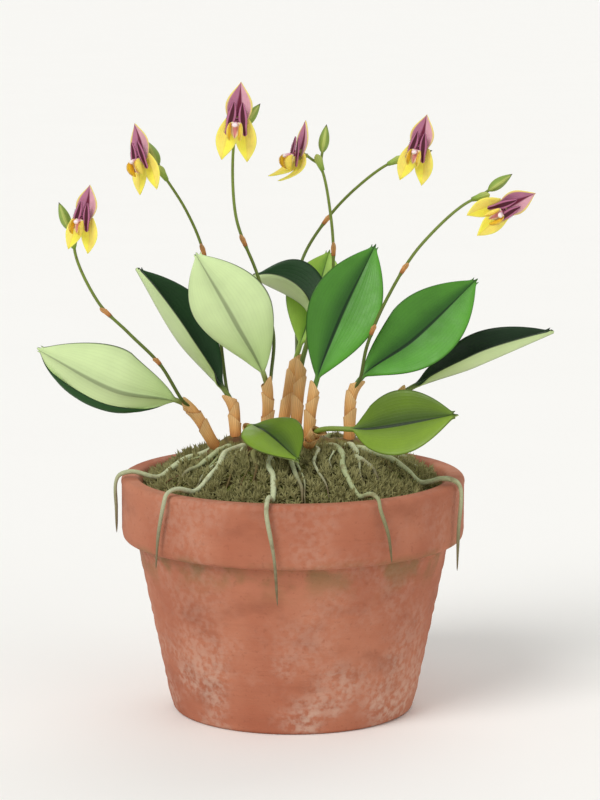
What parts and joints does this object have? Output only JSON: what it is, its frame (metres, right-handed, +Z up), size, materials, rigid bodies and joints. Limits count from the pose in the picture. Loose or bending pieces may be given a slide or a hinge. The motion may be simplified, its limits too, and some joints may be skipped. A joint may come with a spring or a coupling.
{
  "type": "potted lepanthes tridentata orchid",
  "caption": "Miniature orchid in flower: a fan of elliptic leaves, slender flowering stems with small maroon and yellow flowers, roots creeping over moss in a clay pot.",
  "frame": {"origin": "middle of the pot's foot, on the surface it stands on", "axes": "+Z up through the pot's axis, -Y towards the viewer of the picture, +X to the viewer's right"},
  "size_m": [0.0866, 0.0593, 0.1064],
  "materials": {
    "clay": "matte",
    "root": "matte",
    "moss": "matte",
    "leaf": "satin",
    "young_leaf": "satin",
    "sheath": "matte",
    "flower_stem": "satin",
    "sepal": "satin",
    "petal": "satin",
    "lip": "satin"
  },
  "bodies": {
    "root": {"pot": "clay", "rhizome_and_roots": "root", "moss": "moss", "leaf_1": "leaf", "leaf_2": "leaf", "leaf_3": "leaf", "leaf_4": "leaf", "leaf_5": "young_leaf", "leaf_6": "leaf", "leaf_7": "leaf", "leaf_8": "leaf", "leaf_9": "young_leaf", "leaf_10": "young_leaf", "sheath_1": "sheath", "sheath_2": "sheath", "sheath_3": "sheath", "sheath_4": "sheath", "sheath_5": "sheath", "sheath_6": "sheath", "sheath_7": "sheath", "sheath_8": "sheath", "sheath_9": "sheath", "sheath_10": "sheath", "flower_stem_1": "flower_stem", "flower_stem_2": "flower_stem", "flower_stem_3": "flower_stem", "flower_stem_4": "flower_stem", "flower_stem_5": "flower_stem", "flower_stem_6": "flower_stem", "sepals_1": "sepal", "sepals_2": "sepal", "sepals_3": "sepal", "sepals_4": "sepal", "sepals_5": "sepal", "sepals_6": "sepal", "petals_1": "petal", "petals_2": "petal", "petals_3": "petal", "petals_4": "petal", "petals_5": "petal", "petals_6": "petal", "lip_1": "lip", "lip_2": "lip", "lip_3": "lip", "lip_4": "lip", "lip_5": "lip", "lip_6": "lip"}
  },
  "joints": []
}
